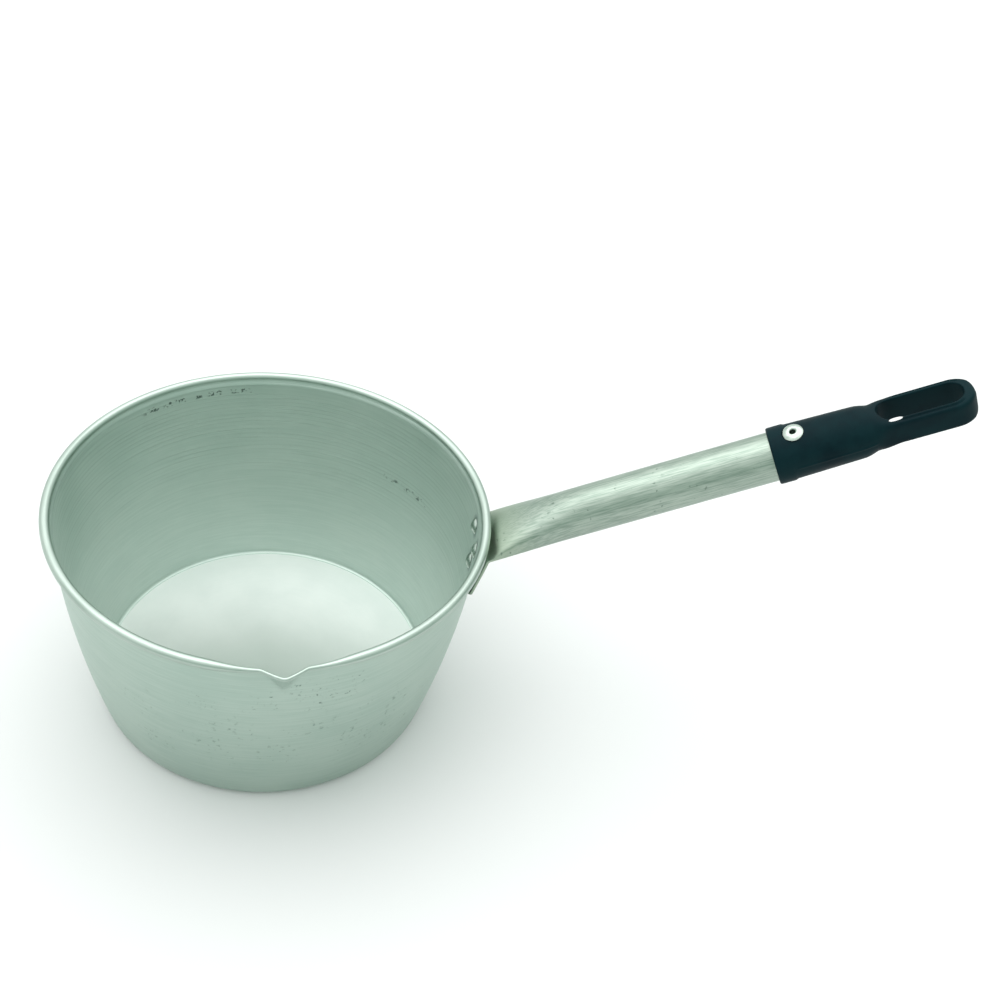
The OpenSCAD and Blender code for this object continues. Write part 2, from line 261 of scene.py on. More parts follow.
def ring_faces(ring_count, n):
    """Quads between neighbouring rings of n points each."""
    faces = []
    for j in range(ring_count - 1):
        for i in range(n):
            k = (i + 1) % n
            faces.append((j * n + i, j * n + k, (j + 1) * n + k, (j + 1) * n + i))
    return faces


def strip_cap(first, n):
    """Closes a flat section whose second half runs back along its first half."""
    return [(first + i, first + i + 1, first + n - 2 - i, first + n - 1 - i) for i in range(n // 2 - 1)]


def lathe(name, profile, place, materials, steps=72):
    """Turns (radius, height) points about place's Z axis.

    The profile starts and ends on the axis, or it closes on itself.
    """
    angles = np.linspace(0, 2 * math.pi, steps, endpoint=False)
    closed = profile[0][0] > 0
    points, rows = [], []
    for r, h in profile:
        if r <= 0:
            rows.append([len(points)] * steps)
            points.append((0, 0, h))
        else:
            rows.append(list(range(len(points), len(points) + steps)))
            points += [(r * math.cos(a), r * math.sin(a), h) for a in angles]
    faces = []
    following = rows[1:] + rows[:1] if closed else rows[1:]
    for low, high in zip(rows, following):
        for i in range(steps):
            k = (i + 1) % steps
            corners = (low[i], low[k], high[k], high[i])
            faces.append(tuple(dict.fromkeys(corners)))
    placed = [tuple(place @ Vector(p)) for p in points]
    return make_object(name, placed, faces, materials)


def combine(piece, other, operation):
    """Joins or cuts the piece with the other solid and removes the other."""
    step = piece.modifiers.new("combine", "BOOLEAN")
    step.operation = operation
    step.solver = "EXACT"
    step.object = other
    bake_modifiers(piece)
    bpy.data.objects.remove(other)


def cut(piece, cutter):
    """Takes the cutter's solid out of the piece and removes the cutter."""
    combine(piece, cutter, "DIFFERENCE")


def bake_modifiers(piece):
    """Replaces the piece's mesh by what its modifiers make of it."""
    shown = piece.evaluated_get(bpy.context.evaluated_depsgraph_get())
    mesh = bpy.data.meshes.new_from_object(shown)
    piece.modifiers.clear()
    piece.data = mesh


def peg(place, radius, low, high):
    """A plain cylinder for cutting a hole, along place's Z axis."""
    return lathe("cutter", [(0, low), (radius, low), (radius, high), (0, high)], place, [])


def finish_piece(piece, node):
    """Lets the piece stand for its CAD node, on the one body."""
    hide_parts(node)
    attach(piece, BODY)
    return piece


# ---------------------------------------------------------------- places on the object
AXIS_ORIGIN = np.array([RIM_R - BEAD_R, AXIS_Z])
AXIS_DIR = np.array([math.cos(math.radians(TILT)), math.sin(math.radians(TILT))])
AXIS_UP = np.array([-AXIS_DIR[1], AXIS_DIR[0]])


def on_axis(along, lift=0.0):
    return AXIS_ORIGIN + along * AXIS_DIR + lift * AXIS_UP


def along_handle():
    """Local Z runs out along the handle's axis and local -X points up."""
    start = Vector((AXIS_ORIGIN[0], 0, AXIS_ORIGIN[1]))
    return Matrix.Translation(start) @ Matrix.Rotation(math.radians(90 - TILT), 4, "Y")


def through_wall(az, z):
    """Local Z runs outward through the wall from its inner face."""
    face = polar(WALL_C, WALL_R - WALL_T, wall_angle(z))
    turn = Matrix.Rotation(math.radians(az), 4, "Z")
    lean = Matrix.Rotation(math.radians(90 - wall_angle(z)), 4, "Y")
    return turn @ Matrix.Translation(Vector((face[0], 0, face[1]))) @ lean


def at_pin():
    """Local Z runs outward from the handle's axis along the blind rivet."""
    turn = Matrix.Rotation(math.radians(PIN_TURN), 4, "Z")
    over = Matrix.Rotation(math.radians(-90), 4, "Y")
    return along_handle() @ Matrix.Translation(Vector((0, 0, PIN_AT))) @ turn @ over


RIVET_PLACES = {
    "handle_rivet_near": (-RIVET_SPREAD, RIVET_UPPER_Z),
    "handle_rivet_far": (RIVET_SPREAD, RIVET_UPPER_Z),
    "handle_rivet_lower": (0.0, RIVET_LOWER_Z),
}


# ---------------------------------------------------------------- pot body
def flare(start, start_lean, end, steps):
    """An S-curve from the wall's lean to upright, where the wall runs into the rolled rim."""
    start, end = np.array(start), np.array(end)
    pull = end[1] - start[1]
    lean = math.radians(start_lean)
    leave = pull * np.array([math.sin(lean), math.cos(lean)])
    arrive = pull * np.array([0.0, 1.0])
    points = []
    for t in np.linspace(0, 1, steps + 1):
        at_start = 2 * t**3 - 3 * t**2 + 1
        at_leave = t**3 - 2 * t**2 + t
        at_end = -2 * t**3 + 3 * t**2
        at_arrive = t**3 - t**2
        points.append(at_start * start + at_leave * leave + at_end * end + at_arrive * arrive)
    return points


# The pot's material slots.
FLOOR_FACE, WALL_FACE, BEAD_FACE, OUTER_FACE = range(4)


def pot_outline():
    """Points (r, z) round the sheet's section.

    Also, for each point, whether it is in the curl and on the outer side, and its material slot.
    """
    curl_r = BEAD_R - WALL_T
    neck_in = polar(WALL_C, WALL_R - WALL_T, -NECK_LEAN)
    inner_top = (BEAD_C[0] - BEAD_R, BEAD_C[1])
    outer_top = (BEAD_C[0] - curl_r, BEAD_C[1])
    runs = [
        (line((0, BASE_T), (FILLET_C[0], BASE_T), 40), False, False, FLOOR_FACE),
        (arc(FILLET_C, FILLET_R, -90, FILLET_A, 10), False, False, WALL_FACE),
        (arc(WALL_C, WALL_R - WALL_T, FILLET_A, -NECK_LEAN, 80), False, False, WALL_FACE),
        (flare(neck_in, NECK_LEAN, inner_top, 7), False, False, WALL_FACE),
        (arc(BEAD_C, BEAD_R, CURL_FROM, CURL_TO, 38), True, False, BEAD_FACE),
        (arc(BEAD_C, curl_r, CURL_TO, CURL_FROM, 14), True, True, BEAD_FACE),
        (flare(NECK, NECK_LEAN, outer_top, 7)[::-1], False, True, OUTER_FACE),
        (arc(WALL_C, WALL_R, -NECK_LEAN, -FOOT_LEAN, 50), False, True, OUTER_FACE),
        (arc(CORNER_C, CORNER_R, -FOOT_LEAN, -90, 12), False, True, OUTER_FACE),
        (line((CORNER_C[0], 0), (0, 0), 14), False, True, OUTER_FACE),
    ]
    points, curled, outside, materials = [], [], [], []
    for run, is_curl, is_outside, material in runs:
        for p in run:
            if points and np.hypot(*(p - points[-1])) < 1e-6:
                continue
            points.append(p)
            curled.append(is_curl)
            outside.append(is_outside)
            materials.append(material)
    return np.array(points), np.array(curled), np.array(outside), materials


def spout_azimuths():
    """Azimuths round the pot, closer together through the spout."""
    reach = 22
    fine = np.linspace(-reach, reach, 89)
    coarse = np.linspace(reach, 360 - reach, 253)[1:-1]
    return np.concatenate((fine, coarse)) + SPOUT_AZ


def press_spout(r, z, curled, outside, az):
    """Moves one section's points outward for the spout's groove and flattened rim."""
    off = abs((az - SPOUT_AZ + 180) % 360 - 180)
    share = np.where(curled, 1.0, (z - BEAD_C[1] + SPOUT_DEPTH) / SPOUT_DEPTH)
    flat = SPOUT_FLAT * smooth((SPOUT_FADE - off) / (SPOUT_FADE - SPOUT_HALF))
    centre = BEAD_C[0] + SPOUT_FLAT_OUT
    reach = np.where(outside, centre - BEAD_C[0] + BEAD_R - WALL_T, centre - BEAD_C[0] + BEAD_R)
    wide = np.where(curled, mix(r, centre, flat), r + flat * reach * np.clip(share, 0, 1) ** 2)
    high = np.where(curled, mix(z, BEAD_C[1], flat), z)
    crease = math.sqrt(off * off + SPOUT_CREASE) - SPOUT_CREASE / 2
    x = share - crease / SPOUT_HALF
    s = SPOUT_SHOULDER
    ramp = np.where(x < -s, 0.0, np.where(x > s, x, (x + s) ** 2 / (4 * s)))
    groove = SPOUT_OUT * ramp
    return wide + groove, high - SPOUT_DROP * groove


def make_pot(materials):
    outline, curled, outside, run_materials = pot_outline()
    azimuths = spout_azimuths()
    inner = slice(1, len(outline) - 1)
    points = [(0, 0, outline[0][1]), (0, 0, outline[-1][1])]
    for az in azimuths:
        r, z = press_spout(outline[inner, 0], outline[inner, 1], curled[inner], outside[inner], az)
        a = math.radians(az)
        points += list(zip(r * math.cos(a), r * math.sin(a), z))
    count, turns = len(outline) - 2, len(azimuths)
    faces, face_materials = [], []
    for j in range(turns):
        here, there = 2 + j * count, 2 + ((j + 1) % turns) * count
        faces.append((0, here, there))
        face_materials.append(FLOOR_FACE)
        for i in range(count - 1):
            faces.append((here + i, here + i + 1, there + i + 1, there + i))
            face_materials.append(run_materials[i + 2])
        faces.append((1, there + count - 1, here + count - 1))
        face_materials.append(OUTER_FACE)
    pot = make_object("pot_sheet", points, faces, materials, face_materials)
    for az, z in RIVET_PLACES.values():
        cut(pot, peg(through_wall(az, z), RIVET_R + HOLE_PLAY, -CUT_PAST, WALL_T + CUT_PAST))
    return finish_piece(pot, "pot_body")


# ---------------------------------------------------------------- handle tube
STRIP_T = 2 * TUBE_T
STRIP_DIR = 90 + wall_angle(RIVET_UPPER_Z)
STRIP_UP = polar((0, 0), 1.0, STRIP_DIR)
STRIP_POINT = np.array([wall_outer_r(RIVET_UPPER_Z) + STRIP_GAP + STRIP_T / 2, RIVET_UPPER_Z])


def rivet_seat(z):
    """How far out of the wall's inner face the tail of the rivet at that height bears."""
    stack = WALL_T + STRIP_GAP + STRIP_T
    return stack - FLAT_SEAT_DEPTH if z < RIVET_UPPER_Z else stack + BEND_SEAT_RISE


def cross2(a, b):
    return a[0] * b[1] - a[1] * b[0]


CORNER_AT = cross2(STRIP_POINT - on_axis(0, BOW_TOP), STRIP_UP) / cross2(AXIS_DIR, STRIP_UP)
BEND_TANGENT = BEND_R * math.tan(math.radians((STRIP_DIR - TILT) / 2))
BEND_C = on_axis(CORNER_AT + BEND_TANGENT, BOW_TOP - BEND_R)
STRIP_TOP_Z = on_axis(CORNER_AT, BOW_TOP)[1] - BEND_TANGENT * STRIP_UP[1]


def roundness(along):
    share = clamp((along - FLAT_UNTIL) / (ROUND_AT - FLAT_UNTIL))
    return math.sin(math.pi / 2 * share) ** ROUNDING_POWER


def bow(along):
    share = clamp((along - FLAT_UNTIL) / (BOW_UNTIL - FLAT_UNTIL))
    return BOW_TOP * (1 - share) ** 2


# A station is (place in XZ, direction of the run, roundness, bow of the middle, width lost).
def axis_station(along):
    lift = bow(along)
    return on_axis(along, lift), TILT, roundness(along), lift, 0.0


def bend_station(degrees):
    return polar(BEND_C, BEND_R, 90 + degrees), degrees, 0.0, BOW_TOP, 0.0


def strip_station(up):
    """A station on the strip down the wall, up from its foot, where its corners are rounded."""
    z = STRIP_Z + up
    place = np.array([wall_outer_r(z) + STRIP_GAP + STRIP_T / 2, z])
    lift = mix(BOW_FOOT, BOW_TOP, up / (STRIP_TOP_Z - STRIP_Z))
    lost = 0.0
    if up < STRIP_CORNER_R:
        lost = 2 * (STRIP_CORNER_R - math.sqrt(STRIP_CORNER_R**2 - (STRIP_CORNER_R - up) ** 2))
    return place, 90 + wall_angle(z), 0.0, lift, lost


SECTION_STEPS = 44


def section_ring(station, inset=0.0):
    """The tube's section at a station. Its girth stays the same from round to flat."""
    place, direction, round_share, lift, lost = station
    t = mix(STRIP_T, 2 * TUBE_R, round_share)
    w = t + math.pi * (2 * TUBE_R - t) / 2 - lost - 2 * inset
    power = mix(FLAT_POWER, 1.0, round_share**2)
    a = np.pi * (np.arange(SECTION_STEPS) + 0.5) / SECTION_STEPS
    rows = []
    for side in (1, -1):
        n = side * (t / 2 - inset) * np.sin(a) ** power - lift * np.cos(a) ** 2
        d = math.radians(direction)
        x = place[0] - n * math.sin(d)
        z = place[1] + n * math.cos(d)
        row = np.column_stack((x, -np.cos(a) * w / 2, z))
        rows.append(row if side == 1 else row[::-1])
    return np.concatenate(rows)


def make_tube(materials):
    straight = np.linspace(TUBE_LEN, ROUND_AT, 25)
    taper = np.linspace(ROUND_AT, CORNER_AT + BEND_TANGENT, 57)[1:]
    bend = np.linspace(TILT, STRIP_DIR, 13)[1:]
    strip = np.linspace(STRIP_TOP_Z - STRIP_Z, STRIP_CORNER_R, 17)[1:]
    corner = STRIP_CORNER_R * (1 - np.sin(np.linspace(0, np.pi / 2, 11)[1:]))
    bore = np.linspace(CAVITY_FROM, TUBE_LEN, 50)
    rings = [section_ring(axis_station(s), TUBE_T) for s in bore]
    rings += [section_ring(axis_station(s)) for s in (*straight, *taper)]
    rings += [section_ring(bend_station(a)) for a in bend]
    rings += [section_ring(strip_station(u)) for u in (*strip, *corner)]
    n = 2 * SECTION_STEPS
    faces = ring_faces(len(rings), n)
    faces += strip_cap(0, n) + strip_cap((len(rings) - 1) * n, n)
    tube = make_object("handle_tube_formed", np.concatenate(rings), faces, materials)
    for az, z in RIVET_PLACES.values():
        place = through_wall(az, z)
        seat = rivet_seat(z)
        cut(tube, peg(place, RIVET_R + HOLE_PLAY, 0.0, seat + CUT_PAST))
        cut(tube, peg(place, RIVET_TAIL_R + HOLE_PLAY, seat, seat + SEAT_CUT_H))
    cut(tube, peg(at_pin(), PIN_SHANK_R + HOLE_PLAY, TUBE_R / 2, TUBE_R + 2 * CUT_PAST))
    tidy_normals(tube)
    return finish_piece(tube, "handle_tube")


# ---------------------------------------------------------------- rivets
def dome(radius, height, base, steps=14):
    """(radius, height) points of a dome that bulges toward -Z from base, from its tip to its edge."""
    ball = (radius**2 + height**2) / (2 * height)
    widest = math.asin(min(1.0, radius / ball))
    return [
        (ball * math.sin(a), base - height + ball * (1 - math.cos(a)))
        for a in np.linspace(0, widest, steps)
    ]


def make_wall_rivet(node, materials):
    az, z = RIVET_PLACES[node]
    seat = rivet_seat(z)
    top = seat + RIVET_TAIL_H
    edge = RIVET_HEAD_EDGE
    head = dome(RIVET_HEAD_R - edge / 2, RIVET_HEAD_H - edge, -RIVET_HEAD_GAP - edge)
    profile = head + [
        (RIVET_HEAD_R, -RIVET_HEAD_GAP - edge / 2),
        (RIVET_HEAD_R - edge / 2, -RIVET_HEAD_GAP),
        (RIVET_R, -RIVET_HEAD_GAP),
        (RIVET_R, seat),
        (RIVET_TAIL_R, seat),
        (RIVET_TAIL_R, seat + RIVET_TAIL_H / 2),
        *[(RIVET_TAIL_R - inward, top - below) for inward, below in RIVET_TAIL_EDGE],
        *[(r, top - below) for r, below in RIVET_TAIL_DISH],
    ]
    rivet = lathe(node + "_set", profile, through_wall(az, z), materials)
    return finish_piece(rivet, node)


PIN_TAIL_FROM = TUBE_R - TUBE_T - PIN_TAIL_GAP
PIN_TAIL_TO = PIN_TAIL_FROM - PIN_TAIL_H


def make_pin(materials):
    top = PIN_SEAT + PIN_HEAD_H
    profile = [
        (PIN_BORE_R, PIN_TAIL_TO),
        (PIN_TAIL_R - PIN_TAIL_ROUND, PIN_TAIL_TO),
        (PIN_TAIL_R, PIN_TAIL_TO + PIN_TAIL_ROUND),
        (PIN_TAIL_R, PIN_TAIL_FROM - PIN_TAIL_ROUND),
        (PIN_SHANK_R, PIN_TAIL_FROM),
        (PIN_SHANK_R, PIN_SEAT + PIN_SEAT_GAP),
        *[(PIN_HEAD_R - inward, PIN_SEAT + above) for inward, above in PIN_FLANGE],
        *[(PIN_HEAD_R - inward, top - below) for inward, below in PIN_CROWN],
        *[(PIN_BORE_R + outward, top - below) for outward, below in PIN_LIP],
    ]
    pin = lathe("blind_rivet_body", profile, at_pin(), materials)
    return finish_piece(pin, "grip_rivet_sleeve")


def make_mandrel(materials):
    top = PIN_SEAT - MANDREL_DEPTH
    profile = [
        *[(r, PIN_TAIL_TO - below) for r, below in MANDREL_BULB],
        (MANDREL_R, PIN_TAIL_TO),
        *[(r, top - below) for r, below in MANDREL_BREAK],
    ]
    mandrel = lathe("blind_rivet_mandrel", profile, at_pin(), materials)
    return finish_piece(mandrel, "grip_rivet_mandrel")


# ---------------------------------------------------------------- grip
SLOT_TO = GRIP_TO - TIP_WALL
SLOT_FROM = SLOT_TO - SLOT_LEN
TIP_CENTRE = GRIP_TO - LOOP_HALF_W


def grip_section(along):
    """Half width, height above and below the axis, and squareness of the grip's section."""
    past_collar = along - GRIP_FROM - COLLAR_LEN
    collar = 1 - smooth((past_collar + COLLAR_FADE_AHEAD) / COLLAR_FADE)
    sleeve = mix(SLEEVE_R, WAIST_R, np.clip(past_collar / SLEEVE_TAPER_LEN, 0, 1))
    r = mix(sleeve, COLLAR_R, collar)
    mouth = np.clip((GRIP_FROM + MOUTH_ROUND - along) / MOUTH_ROUND, 0, 1)
    r = r - MOUTH_ROUND * (1 - quarter(mouth))
    into_loop = along - LOOP_FROM
    top = mix(r, LOOP_HALF_T + LOOP_LIFT, smooth(into_loop / LOOP_TOP_BLEND))
    low = mix(r, LOOP_HALF_T - LOOP_LIFT, smooth(into_loop / LOOP_LOW_BLEND))
    half_w = mix(r, LOOP_HALF_W, smooth(into_loop / LOOP_SIDE_BLEND))
    half_w *= quarter(max(0.0, along - TIP_CENTRE) / LOOP_HALF_W)
    end = max(0.0, along - (GRIP_TO - TIP_ROUND)) / TIP_ROUND
    thin = mix(TIP_THINNEST, 1.0, quarter(end))
    middle = (top - low) / 2 * (1 - thin)
    square = mix(ROUND_POWER, LOOP_POWER, smooth((along - SQUARE_FROM) / SQUARE_BLEND))
    return half_w, top * thin + middle, low * thin - middle, square


def grip_ring(along, steps=96):
    half_w, top, low, square = grip_section(along)
    a = np.linspace(0, 2 * np.pi, steps, endpoint=False)
    c, s = np.cos(a), np.sin(a)
    across = half_w * np.sign(c) * np.abs(c) ** (2 / square)
    lift = np.where(s > 0, top, low) * np.sign(s) * np.abs(s) ** (2 / square)
    return np.column_stack((-lift, across, np.full(steps, along)))


def solid_of_rings(name, rings, place, materials):
    """Skins closed rings of points, given in place's coordinates, and closes both ends."""
    n = len(rings[0])
    points = np.concatenate(rings)
    first, last = rings[0].mean(0), rings[-1].mean(0)
    faces = ring_faces(len(rings), n)
    base = len(points)
    faces += [(base, i, (i + 1) % n) for i in range(n)]
    top = (len(rings) - 1) * n
    faces += [(base + 1, top + (i + 1) % n, top + i) for i in range(n)]
    everything = np.concatenate((points, [first, last]))
    placed = [tuple(place @ Vector(p)) for p in everything]
    return make_object(name, placed, faces, materials)


def stadium(from_along, to_along, half_w, steps=40):
    """Outline of a slot with round ends, as (across, along) points."""
    a = np.linspace(-np.pi, 0, steps)
    low = np.column_stack((half_w * np.cos(a), from_along + half_w + half_w * np.sin(a)))
    high = np.column_stack((-half_w * np.cos(a), to_along - half_w - half_w * np.sin(a)))
    return np.concatenate((low, high))


def slab(name, outline, low, high, place):
    """A flat solid of that outline between two heights above the handle's axis."""
    rings = [np.column_stack((np.full(len(outline), -h), outline)) for h in (low, high)]
    return solid_of_rings(name, rings, place, [])


def slot_lip(place):
    """The raised lip round the slot's mouth, before the slot is cut. It has no lip at its root."""
    outline = stadium(SLOT_FROM + LIP_W, SLOT_TO + LIP_W, SLOT_HALF_W + LIP_W)
    return slab("lip", outline, LIP_FROM, LOOP_HALF_T + LOOP_LIFT + LIP_H, place)


def slot_relief(place):
    """A slanting cutter that eases the slot's near upper and far lower edges beside its root."""
    a = np.linspace(-np.pi, np.pi, 40, endpoint=False)
    rings = []
    for up in (-RELIEF_REACH, RELIEF_REACH):
        across = RELIEF_HALF_W * np.cos(a) - RELIEF_LEAN * up
        along = RELIEF_AT + RELIEF_HALF_LEN * np.sin(a) - RELIEF_DRIFT * up
        rings.append(np.column_stack((np.full(len(a), -up - LOOP_LIFT), across, along)))
    return solid_of_rings("relief", rings, place, [])


def soften(piece, voxel=0.33, passes=4):
    """Remeshes evenly and rounds every edge, as a moulding's edges are."""
    remesh = piece.modifiers.new("even", "REMESH")
    remesh.mode = "VOXEL"
    remesh.voxel_size = voxel * MM
    remesh.use_smooth_shade = True
    ease = piece.modifiers.new("ease", "SMOOTH")
    ease.factor = 0.5
    ease.iterations = passes
    bake_modifiers(piece)


def grip_coordinates(piece, place):
    """The mesh's points and normals, and the same points across, along and above the handle's axis."""
    count = len(piece.data.vertices)
    points = np.zeros(count * 3)
    normals = np.zeros(count * 3, np.float32)
    piece.data.vertices.foreach_get("co", points)
    piece.data.vertices.foreach_get("normal", normals)
    points, normals = points.reshape(-1, 3), normals.reshape(-1, 3)
    back = place.inverted()
    local = points / MM @ np.array(back.to_3x3()).T + np.array(back.translation)
    return points, normals, local[:, 1], local[:, 2], -local[:, 0]


def detail_grip(piece, place):
    """Raises the mould's parting line along both sides and sinks a groove in the loop's top.

    Each smooth() is a fade at one end, with its length in millimetres below the slash.
    """
    points, normals, across, along, up = grip_coordinates(piece, place)
    parting = np.exp(-((up / PARTING_HALF_W) ** 2)) * smooth((np.abs(across) - PARTING_BEYOND) / 0.8)
    parting *= smooth((along - GRIP_FROM - COLLAR_LEN - 1) / 2) * smooth((PARTING_TO - along) / 6)
    beyond = np.maximum(SLOT_FROM + SLOT_HALF_W - along, along - SLOT_TO + SLOT_HALF_W)
    from_edge = np.hypot(across, np.maximum(beyond, 0)) - SLOT_HALF_W
    groove = np.exp(-(((from_edge - GROOVE_AT) / GROOVE_HALF_W) ** 2))
    groove *= smooth((up - GROOVE_ABOVE) / 1.0)
    groove *= smooth((along - GROOVE_FROM) / 4.0) * smooth((SLOT_TO - 0.5 - along) / 2.0)
    points += normals * (MM * (PARTING_H * parting - GROOVE_DEPTH * groove))[:, None]
    piece.data.vertices.foreach_set("co", points.ravel())
    piece.data.update()


def make_grip(materials):
    place = along_handle()
    collar_end = GRIP_FROM + COLLAR_LEN
    stops = np.concatenate((
        GRIP_FROM + MOUTH_ROUND * (1 - np.cos(np.linspace(0, np.pi / 2, 7))),
        np.linspace(GRIP_FROM + 1.2, collar_end + 1.5, 28),
        np.linspace(collar_end + 2.5, TIP_CENTRE, 90),
        TIP_CENTRE + LOOP_HALF_W * np.sin(np.linspace(0, np.pi / 2, 36))[1:-1],
    ))
    grip = solid_of_rings("grip_moulding", [grip_ring(s) for s in stops], place, materials)
    combine(grip, slot_lip(place), "UNION")
    slot_outline = stadium(SLOT_FROM, SLOT_TO, SLOT_HALF_W)
    cut(grip, slab("slot", slot_outline, -2 * LOOP_HALF_W, 2 * LOOP_HALF_W, place))
    cut(grip, slot_relief(place))
    soften(grip)
    detail_grip(grip, place)
    cut(grip, peg(place, SOCKET_R, GRIP_FROM - 2 * CUT_PAST, SOCKET_TO))
    cut(grip, peg(at_pin(), PIN_SHANK_R + HOLE_PLAY, TUBE_R / 2, 2 * TUBE_R))
    cut(grip, peg(at_pin(), PIN_HEAD_R + 2 * HOLE_PLAY, PIN_SEAT, PIN_SEAT + PIN_SEAT_CUT_H))
    tidy_normals(grip, sharp_above=55.0)
    return finish_piece(grip, "grip")


# ---------------------------------------------------------------- tones and wear
# Tones are a light one and a dark one. They lean to green, as the photo's do.
BASE_TONES = (0.90, 0.94, 0.91, 1), (0.84, 0.89, 0.86, 1)
INSIDE_TONES = (0.575, 0.665, 0.615, 1), (0.515, 0.615, 0.565, 1)
BEAD_TONES = (0.46, 0.54, 0.49, 1), (0.38, 0.46, 0.41, 1)
OUTSIDE_TONES = (0.475, 0.575, 0.515, 1), (0.405, 0.515, 0.455, 1)
TUBE_TONES = (0.40, 0.47, 0.41, 1), (0.25, 0.32, 0.27, 1)
RIVET_TONES = (0.52, 0.59, 0.54, 1), (0.38, 0.45, 0.40, 1)
# The mandrel's near-black tones are painted shade of the rivet's bore.
MANDREL_SHADED_TONES = (0.06, 0.08, 0.08, 1), (0.03, 0.04, 0.04, 1)
PLASTIC_TONES = (0.0026, 0.018, 0.022, 1), (0.0014, 0.011, 0.015, 1)
STUDIO_TONES = (0.74, 0.74, 0.74, 1), (0.70, 0.71, 0.71, 1)
# The floor's worn middle, darker toward the front, where it is also painted shade of the front wall.
BASE_WORN_AND_SHADED = (0.33, 0.39, 0.35, 1)
# A stain on the tube near the pot, darkened to paint the rim's shade there as well.
TUBE_STAIN_AND_SHADE = (0.34, 0.42, 0.32, 1)
RING_SHADE = (0.20, 0.28, 0.24, 1)
# Painted shade round the rivet heads inside the pot.
RIVET_SHADE_TONE = (0.13, 0.20, 0.20, 1)
# Dark of the scuffs, also used for the painted shade in the crease under the rim.
SCUFF_AND_SHADE_DARK = (0.10, 0.15, 0.13, 1)
NICK_DARK = (0.10, 0.15, 0.12, 1)
PIT_DARK = (0.03, 0.06, 0.05, 1)

# Where wear and painted shade begin and where they are full. Heights and distances are in millimetres.
RING_PITCH = 2.6
RINGS_FROM, RINGS_FULL = 35.0, 72.0
CREASE_Z = BEAD_C[1] - BEAD_R
# Reach of the painted shade in the crease under the rim.
CREASE_SHADE_FROM, CREASE_SHADE_FULL = 1.1, 0.2
# Reach of the painted shade round each rivet head.
RIVET_SHADE_FROM, RIVET_SHADE_FULL = 9.0, 6.0
# Reach of the stain and painted rim shade on the tube.
STAIN_AND_SHADE_FROM, STAIN_AND_SHADE_FULL = 30.0, 4.0
# The floor's worn patch sits toward its front, where it also paints the front wall's shade.
WORN_AND_SHADE_AT = (0.0, -30.0, 0.0)
WORN_AND_SHADE_STRETCH = (0.6, 1, 0)
WORN_AND_SHADE_FROM, WORN_AND_SHADE_FULL = 100.0, 24.0

# Grain of turned metal, as how often it repeats round the pot and along a metre of its profile. That
# of the drawn tube is how often it repeats along a metre and across one.
FINE_GRAIN = (1.3, 2600)
STREAKS = (4.3, 900)
RING_WANDER = (0.9, 60)
RING_BREAKS = (1.6, 300)
TUBE_GRAIN = (45, 900)
SCUFF_STRETCH = 9

# A place on the wall is its height, half of the height it covers, and the azimuths it lies between.
PITS = (
    (101.4, 1.9, 101.0, 136.0),
    (66.5, 1.7, 31.0, 57.0),
)
# A scuff is its place, how dark it is and how fine its strokes are.
SCUFFS = (
    ((86.0, 16.0, -104.0, -60.0), 0.6, 60.0),
    ((50.0, 30.0, -125.0, -35.0), 0.3, 40.0),
)


# ---------------------------------------------------------------- material nodes
class Nodes:
    """Builds one material's node tree with short calls."""

    def __init__(self, name):
        self.material = bpy.data.materials.new(name)
        self.material.use_nodes = True
        self.tree = self.material.node_tree
        self.shader = self.tree.nodes["Principled BSDF"]

    def add(self, kind, *inputs, **settings):
        made = self.tree.nodes.new("ShaderNode" + kind)
        for key, value in settings.items():
            setattr(made, key, value)
        for socket, value in zip(made.inputs, inputs):
            self.put(socket, value)
        return made

    def put(self, socket, value):
        """Links the value if it is a socket, and otherwise sets it."""
        if isinstance(value, bpy.types.NodeSocket):
            self.tree.links.new(value, socket)
        else:
            socket.default_value = value

    def math(self, operation, *inputs):
        return self.add("Math", *inputs, operation=operation).outputs[0]

    def where(self):
        return self.add("TexCoord").outputs["Object"]

    def noise(self, vector, scale, detail=3.0):
        made = self.add("TexNoise")
        self.put(made.inputs["Vector"], vector)
        made.inputs["Scale"].default_value = scale
        made.inputs["Detail"].default_value = detail
        made.inputs["Roughness"].default_value = 0.55
        return made.outputs["Fac"]

    def remap(self, value, low, high, to_low=0.0, to_high=1.0):
        made = self.add("MapRange", value, low, high, to_low, to_high, interpolation_type="SMOOTHSTEP")
        return made.outputs[0]

    def blend(self, share, a, b):
        made = self.add("Mix", data_type="RGBA")
        self.put(made.inputs[0], share)
        self.put(made.inputs[6], a)
        self.put(made.inputs[7], b)
        return made.outputs[2]

    def bump(self, height, strength, distance_mm):
        made = self.add("Bump")
        made.inputs["Strength"].default_value = strength
        made.inputs["Distance"].default_value = distance_mm * MM
        self.put(made.inputs["Height"], height)
        return made.outputs[0]

    def set(self, **values):
        for name, value in values.items():
            self.put(self.shader.inputs[name.replace("_", " ")], value)


class Spun:
    """Sockets of a place on turned metal: its height, its run along the profile and its way round."""

    def __init__(self, n):
        xyz = n.add("SeparateXYZ", n.where()).outputs
        squares = [n.math("MULTIPLY", xyz[axis], xyz[axis]) for axis in (0, 1)]
        radius = n.math("POWER", n.math("ADD", *squares), 0.5)
        safe = n.math("MAXIMUM", radius, 1e-4)
        self.z = xyz[2]
        self.profile = n.math("ADD", radius, self.z)
        self.around_x = n.math("DIVIDE", xyz[0], safe)
        self.around_y = n.math("DIVIDE", xyz[1], safe)


def spun_vector(n, spun, around, along):
    """Coordinates that run fast along the profile and slowly round the pot, with no seam."""
    return n.add(
        "CombineXYZ",
        n.math("MULTIPLY_ADD", spun.around_x, around, 0.5),
        n.math("MULTIPLY_ADD", spun.around_y, around, 0.2),
        n.math("MULTIPLY", spun.profile, along),
    ).outputs[0]


